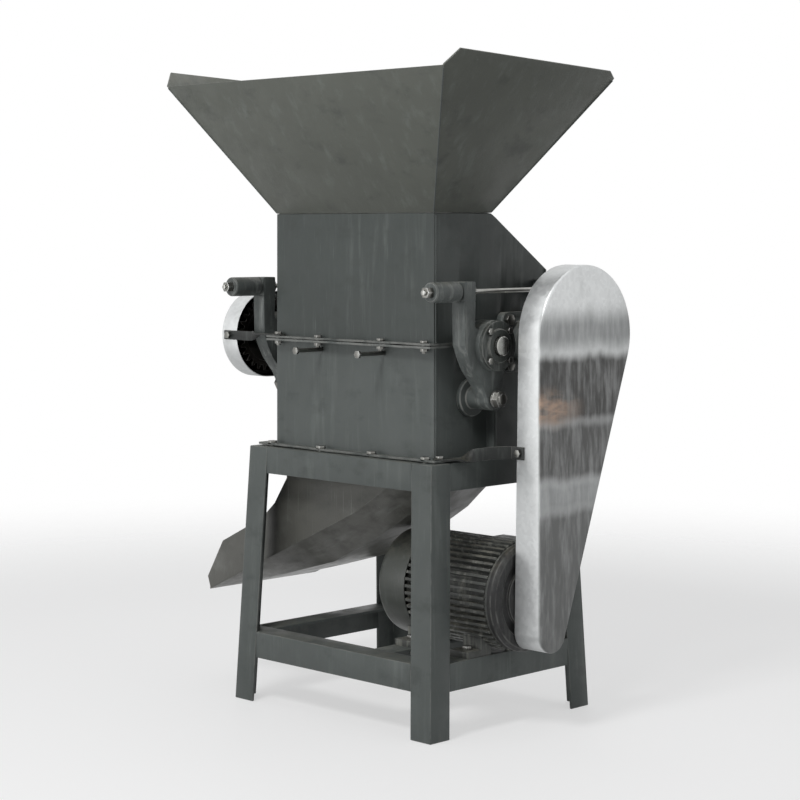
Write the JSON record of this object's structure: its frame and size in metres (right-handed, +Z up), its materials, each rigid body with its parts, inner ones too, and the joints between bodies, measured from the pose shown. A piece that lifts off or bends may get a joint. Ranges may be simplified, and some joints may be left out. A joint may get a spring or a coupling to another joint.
{
  "type": "grain flaker",
  "caption": "Motor-driven roller grain flaker on an angle iron stand, with a wide sheet hopper, sprung roller levers, guarded gears and belts, and a discharge chute.",
  "frame": {"origin": "on the floor, under the middle of the whole machine's box", "axes": "+Z up, +X towards the belt guard, -Y towards the front with the spring rods"},
  "size_m": [0.8178, 0.5246, 1.2146],
  "materials": {
    "stand_paint": "semi-matte slate grey paint on angle iron",
    "housing_paint": "semi-matte slate grey paint on sheet steel",
    "cast_iron": "rough painted casting",
    "dark_bolts": "dull plated steel",
    "bright_steel": "ground steel",
    "roller_steel": "ground chilled steel",
    "gear_steel": "oily dark steel",
    "spring_steel": "blued spring steel",
    "galvanised": "bright galvanised sheet, smudged",
    "belt_rubber": "black belt rubber",
    "motor_paint": "dark grey paint on castings",
    "fan_plastic": "black moulded plastic"
  },
  "bodies": {
    "root": {"frame_leg_front_left": "stand_paint", "frame_leg_front_right": "stand_paint", "frame_leg_back_left": "stand_paint", "frame_leg_back_right": "stand_paint", "upper_rail_front": "stand_paint", "upper_rail_back": "stand_paint", "upper_rail_left": "stand_paint", "upper_rail_right": "stand_paint", "lower_rail_front": "stand_paint", "lower_rail_back": "stand_paint", "lower_rail_left": "stand_paint", "lower_rail_right": "stand_paint", "motor_crossbar": "stand_paint", "hopper": "housing_paint", "upper_housing": "housing_paint", "lower_housing": "housing_paint", "feed_guides": "housing_paint", "chute": "housing_paint", "gear_guard_strap": "housing_paint", "belt_guard_strap": "housing_paint", "rod_anchors": "housing_paint", "pivot_brackets": "housing_paint", "rear_bearing_left": "cast_iron", "rear_bearing_right": "cast_iron", "housing_bolts": "dark_bolts", "pivot_bolts": "dark_bolts", "side_bolts": "dark_bolts", "motor_bolts": "dark_bolts", "rod_nuts": "dark_bolts", "spring_cups": "dark_bolts", "tension_rods": "bright_steel", "gear_guard": "galvanised", "belt_guard": "galvanised", "drive_belts": "belt_rubber", "motor_body": "motor_paint", "motor_end_shields": "motor_paint", "motor_fan_cowl": "motor_paint", "motor_terminal_box": "motor_paint"},
    "rear_roller_set": {"rear_roller": "roller_steel", "rear_shaft": "bright_steel", "rear_gear": "gear_steel", "driven_pulley": "cast_iron"},
    "roller_carrier": {"lever_arm_left": "cast_iron", "lever_arm_right": "cast_iron", "front_bearings": "bright_steel", "bearing_cover_left": "cast_iron", "bearing_cover_right": "cast_iron", "cover_bolts": "dark_bolts", "lever_springs": "spring_steel"},
    "front_roller_set": {"front_roller": "roller_steel", "front_shaft": "bright_steel", "front_gear": "gear_steel"},
    "motor_rotor_set": {"motor_rotor": "bright_steel", "motor_fan": "fan_plastic", "motor_pulley": "cast_iron"},
    "front_scraper": {"scraper_front": "housing_paint", "scraper_bolts_front": "dark_bolts"},
    "back_scraper": {"scraper_back": "housing_paint", "scraper_bolts_back": "dark_bolts"}
  },
  "joints": [
    {"name": "rear_spin", "type": "hinge", "parent": "root", "child": "rear_roller_set", "pos_m": [0.02013, 0.10725, 0.697], "axis": [1, 0, 0], "continuous": true},
    {"name": "lever_swing", "type": "hinge", "parent": "root", "child": "roller_carrier", "pos_m": [0.02013, -0.02475, 0.6], "axis": [1, 0, 0], "range_deg": [0, 1.5], "stiffness_Nm_per_rad": 3800, "springref_deg": -2.86},
    {"name": "front_spin", "type": "hinge", "parent": "roller_carrier", "child": "front_roller_set", "pos_m": [0.02013, -0.03275, 0.697], "axis": [1, 0, 0], "continuous": true},
    {"name": "motor_spin", "type": "hinge", "parent": "root", "child": "motor_rotor_set", "pos_m": [0.02013, 0.02725, 0.24], "axis": [1, 0, 0], "continuous": true},
    {"name": "front_scraper_slide", "type": "slide", "parent": "root", "child": "front_scraper", "axis": [0, -1, 0], "range_m": [0, 0.004]},
    {"name": "back_scraper_slide", "type": "slide", "parent": "root", "child": "back_scraper", "axis": [0, 1, 0], "range_m": [0, 0.004]}
  ],
  "couplings": [
    {"joint": "front_spin", "follows": "rear_spin", "ratio": -1},
    {"joint": "motor_spin", "follows": "rear_spin", "ratio": 3}
  ]
}
